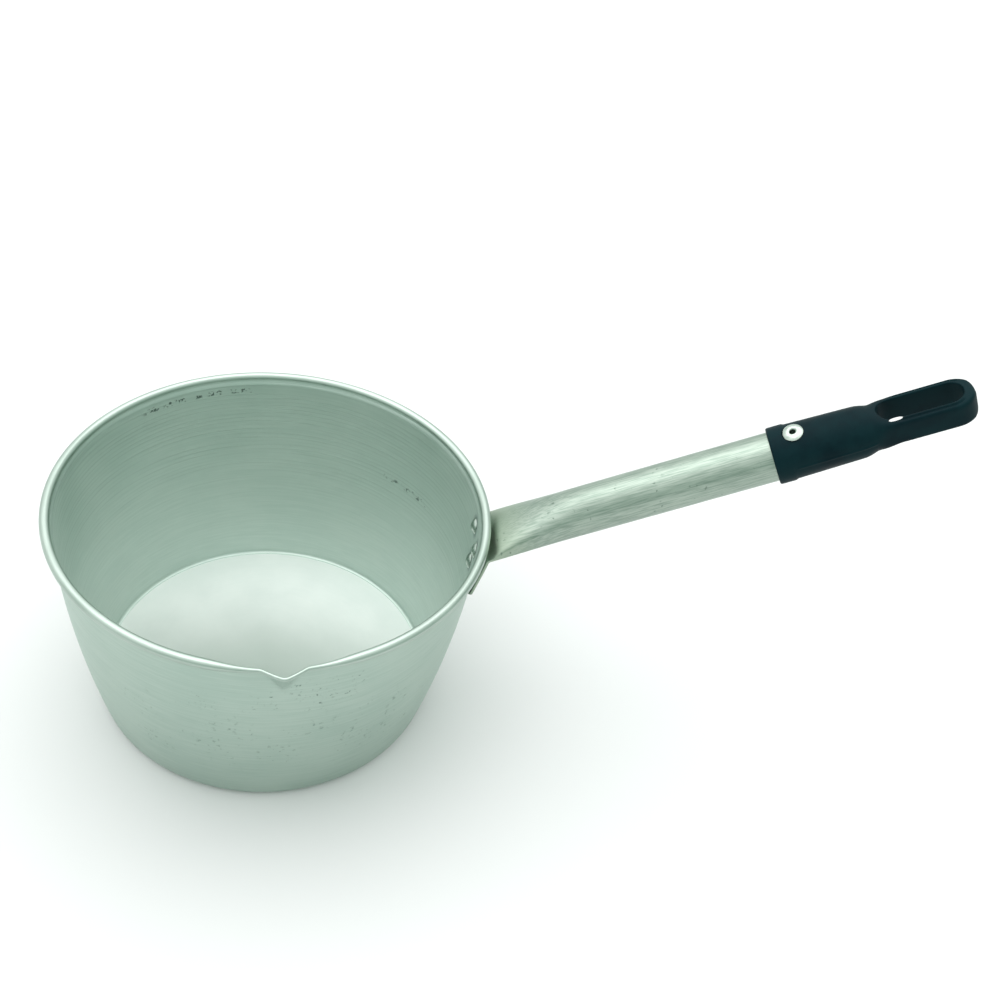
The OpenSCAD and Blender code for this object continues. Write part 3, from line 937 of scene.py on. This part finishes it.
def wall_patch(n, spun, z_mm, half_height_mm, az_from, az_to):
    """A share that is 1 in an arc of the wall round one height."""
    level = n.math("ABSOLUTE", n.math("SUBTRACT", spun.z, z_mm * MM))
    in_level = n.remap(level, half_height_mm * MM, 0.4 * half_height_mm * MM)
    middle = math.radians((az_from + az_to) / 2)
    facing = n.math(
        "ADD",
        n.math("MULTIPLY", spun.around_x, math.cos(middle)),
        n.math("MULTIPLY", spun.around_y, math.sin(middle)),
    )
    half = math.radians((az_to - az_from) / 2)
    in_arc = n.remap(facing, math.cos(half * 1.12), math.cos(half * 0.9))
    return n.math("MULTIPLY", in_level, in_arc)


def spin_rings(n, spun):
    """Fine rings left by the spinning tool, strongest on the upper wall, uneven in height and depth."""
    wander = n.noise(spun_vector(n, spun, *RING_WANDER), 1.0, 1.0)
    turns = n.math(
        "MULTIPLY_ADD",
        spun.profile,
        2 * math.pi / (RING_PITCH * MM),
        n.math("MULTIPLY", wander, 9.0),
    )
    ridge = n.remap(n.math("SINE", turns), 0.35, 1.0)
    uneven = n.remap(n.noise(spun_vector(n, spun, *RING_BREAKS), 1.0, 1.0), 0.3, 0.7, 0.1, 1.0)
    upper = n.remap(spun.z, RINGS_FROM * MM, RINGS_FULL * MM, 0.1, 1.0)
    return n.math("MULTIPLY", n.math("MULTIPLY", ridge, uneven), upper)


def worn_and_shade_share(n, where, cloud):
    """The worn middle of the pot's floor, with an uneven edge. It sits toward the front, where it also
    paints the shade that the front wall casts on the floor.
    """
    centre = tuple(c * MM for c in WORN_AND_SHADE_AT)
    off = n.add("VectorMath", where, centre, operation="SUBTRACT").outputs[0]
    off = n.add("VectorMath", off, WORN_AND_SHADE_STRETCH, operation="MULTIPLY").outputs[0]
    reach = n.add("VectorMath", off, operation="LENGTH").outputs["Value"]
    return n.remap(n.math("MULTIPLY_ADD", cloud, 0.012, reach), WORN_AND_SHADE_FROM * MM, WORN_AND_SHADE_FULL * MM)


def rivet_shade_share(n, where, cloud, centre):
    """Painted shade in a ball round a rivet's head, with an uneven edge."""
    reach = n.add("VectorMath", where, tuple(centre), operation="DISTANCE").outputs["Value"]
    uneven = n.math("MULTIPLY_ADD", cloud, 0.004, reach)
    return n.remap(uneven, RIVET_SHADE_FROM * MM, RIVET_SHADE_FULL * MM, 0.0, 0.6)


def crease_shade_share(n, spun, strength):
    """Painted shade along the line where the wall meets the rolled rim."""
    level = n.math("ABSOLUTE", n.math("SUBTRACT", spun.z, CREASE_Z * MM))
    return n.remap(level, CREASE_SHADE_FROM * MM, CREASE_SHADE_FULL * MM, 0.0, strength)


def scuff_share(n, where, spun, place, scale):
    """Short strokes round the pot, in blotches."""
    stroke = n.noise(spun_vector(n, spun, scale, SCUFF_STRETCH * scale), 1.0, 2.0)
    blotch = n.noise(where, 75.0, 3.0)
    mark = n.math("MULTIPLY", n.remap(stroke, 0.60, 0.70), n.remap(blotch, 0.46, 0.60))
    return n.math("MULTIPLY", mark, wall_patch(n, spun, *place))


def pit_share(n, where, spun, place):
    """Small specks in groups."""
    speck = n.noise(where, 620.0, 1.5)
    group = n.noise(where, 110.0, 1.0)
    hole = n.math("MULTIPLY", n.remap(speck, 0.53, 0.60), n.remap(group, 0.44, 0.52))
    return n.math("MULTIPLY", hole, wall_patch(n, spun, *place))


def spun_aluminium(
    name,
    tones,
    roughness,
    metallic=1.0,
    streak_share=0.45,
    rings=0.0,
    crease=0.0,
    worn_and_shaded_middle=None,
    shaded_rivets=(),
    scuffs=(),
    pits=(),
):
    """Spun and used aluminium, streaked round the pot between two tones.

    rings is how deep the spinning rings are, crease how dark the painted shade along the line below the
    rim is, worn_and_shaded_middle the tone of a worn middle that is also painted shade of the front
    wall. shaded_rivets are the places of painted shade round the rivets, scuffs and pits the places of
    wear.
    """
    light, dark = tones
    n = Nodes(name)
    where = n.where()
    spun = Spun(n)
    fine = n.noise(spun_vector(n, spun, *FINE_GRAIN), 1.0, 2.0)
    streaks = n.noise(spun_vector(n, spun, *STREAKS), 1.0, 3.0)
    cloud = n.noise(where, 24.0, 4.0)
    tone = n.math(
        "ADD",
        n.math("MULTIPLY", streaks, streak_share),
        n.math("MULTIPLY", cloud, 1 - streak_share),
    )
    colour = n.blend(n.remap(tone, 0.36, 0.64), dark, light)
    rough = n.math("MULTIPLY_ADD", n.remap(cloud, 0.3, 0.7), 0.09, roughness)
    rough = n.math("MULTIPLY_ADD", fine, 0.05, rough)
    height = n.math("MULTIPLY", fine, 0.07)
    # The floor's worn middle, set toward its front, is also painted shade of the front wall.
    if worn_and_shaded_middle:
        colour = n.blend(worn_and_shade_share(n, where, cloud), colour, worn_and_shaded_middle)
    if rings:
        ring = spin_rings(n, spun)
        shade = n.blend(0.5, dark, RING_SHADE)
        colour = n.blend(n.math("MULTIPLY", ring, 0.35 * rings), colour, shade)
        height = n.math("MULTIPLY_ADD", ring, -rings, height)
    # Painted shade round each rivet head on the inside wall.
    for centre in shaded_rivets:
        colour = n.blend(rivet_shade_share(n, where, cloud, centre), colour, RIVET_SHADE_TONE)
    # Painted shade in the crease under the rolled rim.
    if crease:
        colour = n.blend(crease_shade_share(n, spun, crease), colour, SCUFF_AND_SHADE_DARK)
    for place, strength, scale in scuffs:
        scuff = scuff_share(n, where, spun, place, scale)
        colour = n.blend(n.math("MULTIPLY", scuff, strength), colour, SCUFF_AND_SHADE_DARK)
        rough = n.math("MULTIPLY_ADD", scuff, 0.15, rough)
        height = n.math("MULTIPLY_ADD", scuff, -0.8, height)
    for place in pits:
        pit = pit_share(n, where, spun, place)
        colour = n.blend(n.math("MULTIPLY", pit, 0.75), colour, PIT_DARK)
        height = n.math("MULTIPLY_ADD", pit, -2.0, height)
    n.set(Base_Color=colour, Roughness=rough, Metallic=metallic, Normal=n.bump(height, 0.5, 0.12))
    n.set(Anisotropic=0.35, Tangent=n.add("Tangent", direction_type="RADIAL", axis="Z").outputs[0])
    return n.material


def handle_coordinates(n):
    """Coordinates along the handle's axis, across it and above it."""
    moved = n.add("VectorMath", n.where(), operation="SUBTRACT")
    moved.inputs[1].default_value = (AXIS_ORIGIN[0] * MM, 0, AXIS_ORIGIN[1] * MM)
    turned = n.add("VectorRotate", moved.outputs[0], rotation_type="Y_AXIS")
    turned.inputs["Angle"].default_value = math.radians(TILT)
    return n.add("SeparateXYZ", turned.outputs[0]).outputs


def drawn_aluminium(name):
    """Drawn tube, its fine lines along the handle, nicked, and near the pot stained and darkened with
    painted shade of the rim.
    """
    light, dark = TUBE_TONES
    n = Nodes(name)
    along, across, up = handle_coordinates(n)
    often_along, often_across = TUBE_GRAIN
    grain = n.add(
        "CombineXYZ",
        n.math("MULTIPLY", along, often_along),
        n.math("MULTIPLY", across, often_across),
        n.math("MULTIPLY", up, often_across),
    ).outputs[0]
    lines = n.noise(grain, 2.0, 3.0)
    where = n.where()
    cloud = n.noise(where, 70.0, 4.0)
    speck = n.noise(where, 430.0, 1.5)
    nick = n.math("MULTIPLY", n.remap(speck, 0.66, 0.74), n.remap(cloud, 0.50, 0.60))
    tone = n.math("ADD", n.math("MULTIPLY", cloud, 0.2), n.math("MULTIPLY", lines, 0.8))
    colour = n.blend(n.remap(tone, 0.34, 0.66), dark, light)
    # Near the pot the tube is stained, and darkened further as painted shade of the rim on its
    # flattened end.
    near_pot_stain_and_shade = n.remap(along, STAIN_AND_SHADE_FROM * MM, STAIN_AND_SHADE_FULL * MM)
    colour = n.blend(n.math("MULTIPLY", near_pot_stain_and_shade, 0.75), colour, TUBE_STAIN_AND_SHADE)
    colour = n.blend(n.math("MULTIPLY", nick, 0.6), colour, NICK_DARK)
    rough = n.math("MULTIPLY_ADD", lines, 0.10, n.remap(cloud, 0.3, 0.7, 0.32, 0.37))
    grit = n.math("MULTIPLY", n.noise(where, 1300.0, 1.0), 0.25)
    height = n.math("SUBTRACT", n.math("MULTIPLY_ADD", lines, 0.3, grit), nick)
    n.set(Base_Color=colour, Roughness=rough, Metallic=1.0, Normal=n.bump(height, 0.45, 0.1))
    return n.material


def rivet_metal(name, tones, roughness):
    light, dark = tones
    n = Nodes(name)
    where = n.where()
    cloud = n.noise(where, 300.0, 3.0)
    speck = n.noise(where, 1600.0, 1.0)
    colour = n.blend(n.remap(cloud, 0.35, 0.65), dark, light)
    rough = n.math("ADD", n.math("MULTIPLY", cloud, 0.12), roughness)
    n.set(Base_Color=colour, Roughness=rough, Metallic=1.0, Normal=n.bump(speck, 0.25, 0.06))
    return n.material


def moulded_plastic(name):
    light, dark = PLASTIC_TONES
    n = Nodes(name)
    where = n.where()
    grain = n.noise(where, 1500.0, 2.0)
    cloud = n.noise(where, 60.0, 4.0)
    rub = n.noise(where, 240.0, 3.0)
    colour = n.blend(n.remap(cloud, 0.35, 0.65), dark, light)
    rough = n.math("ADD", n.remap(cloud, 0.3, 0.7, 0.38, 0.5), n.math("MULTIPLY", rub, 0.06))
    n.set(Base_Color=colour, Roughness=rough, Normal=n.bump(grain, 0.22, 0.05))
    n.set(Specular_IOR_Level=0.06)
    return n.material


def floor_material():
    light, dark = STUDIO_TONES
    n = Nodes("studio_floor")
    cloud = n.noise(n.where(), 3.0, 2.0)
    n.set(Base_Color=n.blend(cloud, dark, light), Roughness=0.9)
    return n.material


# ---------------------------------------------------------------- studio
CAMERA_AT = (38.7, -442.7, 506.2)
CAMERA_AIM = (102.0, 0.0, 122.6)
CAMERA_ROLL = 10.37
CAMERA_LENS = 46.8
CAMERA_SENSOR = 36.0
CAMERA_CLIP = (0.01, 50.0)

# These are in metres. The floor lies just below the pot, so that no two faces share a plane.
FLOOR_SIZE = 9.0
FLOOR_DROP = 0.0002
# A softbox is its name, its place, what it aims at, its size and its power in watts.
SOFTBOXES = (
    ("top_softbox", (-0.2, 0.5, 1.9), (0.05, 0, 0.05), (2.6, 1.8), 18.0),
    ("left_softbox", (-1.6, -0.5, 1.2), (0, 0, 0.05), (1.4, 1.4), 0.8),
)

# The world is dark or bright by how far a direction goes along WORLD_LEAN.
WORLD_LEAN = (-0.22, 0.2, 1.0)
WORLD_DARK_BELOW = -0.1
WORLD_BRIGHT_ABOVE = 1.0
WORLD_DARK = (0.26, 0.36, 0.31, 1)
WORLD_BRIGHT = (1.0, 1.0, 1.0, 1)
WORLD_STRENGTH = 1.6


def make_camera():
    data = bpy.data.cameras.new("studio_camera")
    data.lens = CAMERA_LENS
    data.sensor_width = CAMERA_SENSOR
    data.clip_start, data.clip_end = CAMERA_CLIP
    camera = bpy.data.objects.new("studio_camera", data)
    bpy.context.scene.collection.objects.link(camera)
    at, aim = Vector(CAMERA_AT) * MM, Vector(CAMERA_AIM) * MM
    camera.location = at
    camera.rotation_mode = "QUATERNION"
    roll = Quaternion((0, 0, 1), math.radians(CAMERA_ROLL))
    camera.rotation_quaternion = (aim - at).to_track_quat("-Z", "Y") @ roll
    bpy.context.scene.camera = camera


def make_floor():
    half = FLOOR_SIZE / 2
    corners = [(-half, -half, 0), (half, -half, 0), (half, half, 0), (-half, half, 0)]
    mesh = bpy.data.meshes.new("floor")
    mesh.from_pydata(corners, [], [(0, 1, 2, 3)])
    mesh.materials.append(floor_material())
    floor = bpy.data.objects.new("floor", mesh)
    floor.location.z = -FLOOR_DROP
    bpy.context.scene.collection.objects.link(floor)


def make_softbox(name, at, aim, size, power):
    data = bpy.data.lights.new(name, "AREA")
    data.shape = "RECTANGLE"
    data.size, data.size_y = size
    data.energy = power
    lamp = bpy.data.objects.new(name, data)
    lamp.location = at
    lamp.rotation_mode = "QUATERNION"
    lamp.rotation_quaternion = (Vector(aim) - Vector(at)).to_track_quat("-Z", "Y")
    bpy.context.scene.collection.objects.link(lamp)


def make_world():
    """A bright ceiling over grey-green walls, darker in front of the pot and on the handle's side."""
    world = bpy.data.worlds.new("studio")
    world.use_nodes = True
    tree = world.node_tree
    sky = tree.nodes["Background"]
    where = tree.nodes.new("ShaderNodeTexCoord")
    lean = tree.nodes.new("ShaderNodeVectorMath")
    lean.operation = "DOT_PRODUCT"
    lean.inputs[1].default_value = WORLD_LEAN
    height = tree.nodes.new("ShaderNodeMapRange")
    height.inputs["From Min"].default_value = WORLD_DARK_BELOW
    height.inputs["From Max"].default_value = WORLD_BRIGHT_ABOVE
    ramp = tree.nodes.new("ShaderNodeMix")
    ramp.data_type = "RGBA"
    ramp.inputs[6].default_value = WORLD_DARK
    ramp.inputs[7].default_value = WORLD_BRIGHT
    tree.links.new(where.outputs["Generated"], lean.inputs[0])
    tree.links.new(lean.outputs["Value"], height.inputs[0])
    tree.links.new(height.outputs[0], ramp.inputs[0])
    tree.links.new(ramp.outputs[2], sky.inputs["Color"])
    sky.inputs["Strength"].default_value = WORLD_STRENGTH
    bpy.context.scene.world = world


def make_studio():
    make_camera()
    make_floor()
    make_world()
    for softbox in SOFTBOXES:
        make_softbox(*softbox)
    view = bpy.context.scene.view_settings
    view.view_transform = "Standard"
    view.look = "None"


# ---------------------------------------------------------------- build
def build():
    base = spun_aluminium(
        "spun_base",
        BASE_TONES,
        0.5,
        metallic=0.25,
        streak_share=0.15,
        worn_and_shaded_middle=BASE_WORN_AND_SHADED,
    )
    inside = spun_aluminium(
        "spun_inside",
        INSIDE_TONES,
        0.42,
        metallic=0.9,
        rings=1.1,
        shaded_rivets=[through_wall(az, z).translation * MM for az, z in RIVET_PLACES.values()],
        pits=PITS,
    )
    bead = spun_aluminium("rolled_bead", BEAD_TONES, 0.3)
    outside = spun_aluminium("spun_outside", OUTSIDE_TONES, 0.4, rings=0.25, crease=0.7, scuffs=SCUFFS)
    rivets = rivet_metal("bright_rivet", RIVET_TONES, 0.2)
    make_pot([base, inside, bead, outside])
    make_tube([drawn_aluminium("drawn_tube")])
    for node in RIVET_PLACES:
        make_wall_rivet(node, [rivets])
    make_pin([rivets])
    # The mandrel is painted near-black as the shade in the rivet's bore.
    make_mandrel([rivet_metal("mandrel_metal", MANDREL_SHADED_TONES, 0.4)])
    make_grip([moulded_plastic("black_moulding")])


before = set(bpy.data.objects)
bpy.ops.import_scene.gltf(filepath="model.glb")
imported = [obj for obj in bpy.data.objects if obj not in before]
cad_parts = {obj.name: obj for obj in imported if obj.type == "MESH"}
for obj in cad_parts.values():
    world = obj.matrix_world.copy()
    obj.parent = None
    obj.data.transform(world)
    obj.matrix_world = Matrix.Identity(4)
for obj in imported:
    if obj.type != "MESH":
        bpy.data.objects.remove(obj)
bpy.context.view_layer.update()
build()
make_studio()
